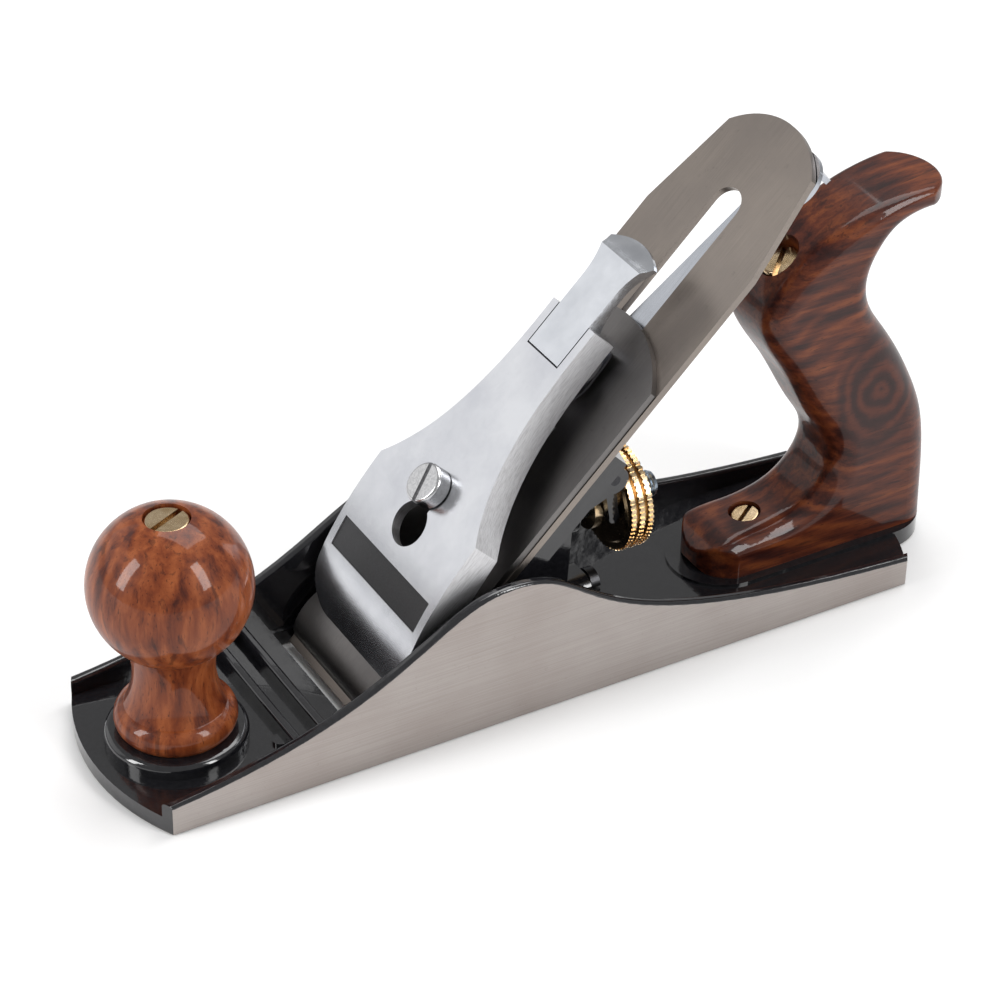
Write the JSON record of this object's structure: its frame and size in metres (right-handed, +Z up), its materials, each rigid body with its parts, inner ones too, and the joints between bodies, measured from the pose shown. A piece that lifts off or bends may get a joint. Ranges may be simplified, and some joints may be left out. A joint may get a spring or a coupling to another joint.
{
  "type": "hand plane",
  "caption": "Metal bench plane with a cast body, bedded iron and cap iron, lever cap, depth and lateral adjusters, turned front knob and shaped rear tote.",
  "frame": {"origin": "on the flat of the sole, at mid width, about midway between toe and heel", "axes": "+X from the toe towards the heel, +Y across to the far cheek, +Z up from the sole"},
  "size_m": [0.256, 0.062, 0.1377],
  "materials": {
    "japanned_casting": "glossy black japan, cheeks and sole ground bright",
    "frog_iron": "black japan with a ground bed",
    "plain_steel": "bright turned steel",
    "tool_steel": "ground tool steel",
    "dark_steel": "dull steel",
    "polished_brass": "polished",
    "nickel": "satin nickel",
    "polished_steel": "polished",
    "rosewood": "high gloss varnish",
    "spring_steel": "blued spring steel"
  },
  "bodies": {
    "body": {"plane_body": "japanned_casting", "front_knob": "rosewood", "knob_stud": "plain_steel", "knob_nut": "polished_brass", "rear_tote": "rosewood", "tote_stud": "plain_steel", "tote_nut": "polished_brass", "tote_toe_screw": "polished_brass", "frog_screws": "plain_steel", "frog_washers": "plain_steel"},
    "frog": {"frog": "frog_iron", "yoke_pin": "plain_steel", "lateral_rivet": "plain_steel", "lever_cap_screw": "nickel", "frog_adjusting_clip": "dark_steel", "frog_clip_screw": "plain_steel"},
    "adjusting_screw": {"frog_adjusting_screw": "plain_steel"},
    "stud": {"depth_stud": "plain_steel"},
    "wheel": {"depth_wheel": "polished_brass"},
    "yoke": {"depth_yoke": "frog_iron"},
    "irons": {"plane_iron": "tool_steel", "cap_iron": "dark_steel", "cap_iron_screw": "plain_steel"},
    "lateral": {"lateral_lever": "polished_steel", "lateral_roller": "plain_steel"},
    "lever_cap": {"lever_cap": "nickel", "lever_cap_spring": "spring_steel", "spring_rivet": "plain_steel", "cam_pin": "plain_steel"},
    "cam": {"cam_lever": "polished_steel"}
  },
  "joints": [
    {"name": "frog_slide", "type": "slide", "parent": "body", "child": "frog", "axis": [1, 0, 0], "range_m": [-0.001, 0.0015]},
    {"name": "frog_adjusting_turn", "type": "hinge", "parent": "frog", "child": "adjusting_screw", "pos_m": [0.0276, 0, 0.0106], "axis": [1, 0, 0], "range_deg": [-360.5, 540.5]},
    {"name": "depth_turn", "type": "hinge", "parent": "frog", "child": "stud", "pos_m": [0.03, 0, 0.0372], "axis": [-1, 0, 0], "range_deg": [-243, 824]},
    {"name": "wheel_travel", "type": "slide", "parent": "stud", "child": "wheel", "axis": [1, 0, 0], "range_m": [-0.00072, 0.00243]},
    {"name": "yoke_swing", "type": "hinge", "parent": "frog", "child": "yoke", "pos_m": [0.0275, 0, 0.052], "axis": [0, -1, 0], "range_deg": [-2.8, 9.4]},
    {"name": "iron_feed", "type": "slide", "parent": "frog", "child": "irons", "axis": [-0.7071, 0, -0.7071], "range_m": [-0.001, 0.0034]},
    {"name": "lateral_swing", "type": "hinge", "parent": "frog", "child": "lateral", "pos_m": [0.02778, 0, 0.07637], "axis": [-0.7071, 0, 0.7071], "range_deg": [-1.5, 18.5]},
    {"name": "lever_cap_slide", "type": "slide", "parent": "frog", "child": "lever_cap", "axis": [0.7071, 0, 0.7071], "range_m": [0, 0.0111]},
    {"name": "cam_swing", "type": "hinge", "parent": "lever_cap", "child": "cam", "pos_m": [0.01887, 0, 0.08811], "axis": [0, -1, 0], "range_deg": [0, 75]}
  ],
  "couplings": [
    {"joint": "frog_adjusting_turn", "follows": "frog_slide", "rad_per_m": 6283.2},
    {"joint": "depth_turn", "follows": "iron_feed", "rad_per_m": 4219.3},
    {"joint": "wheel_travel", "follows": "iron_feed", "ratio": 0.71047},
    {"joint": "yoke_swing", "follows": "iron_feed", "rad_per_m": 48.005}
  ]
}
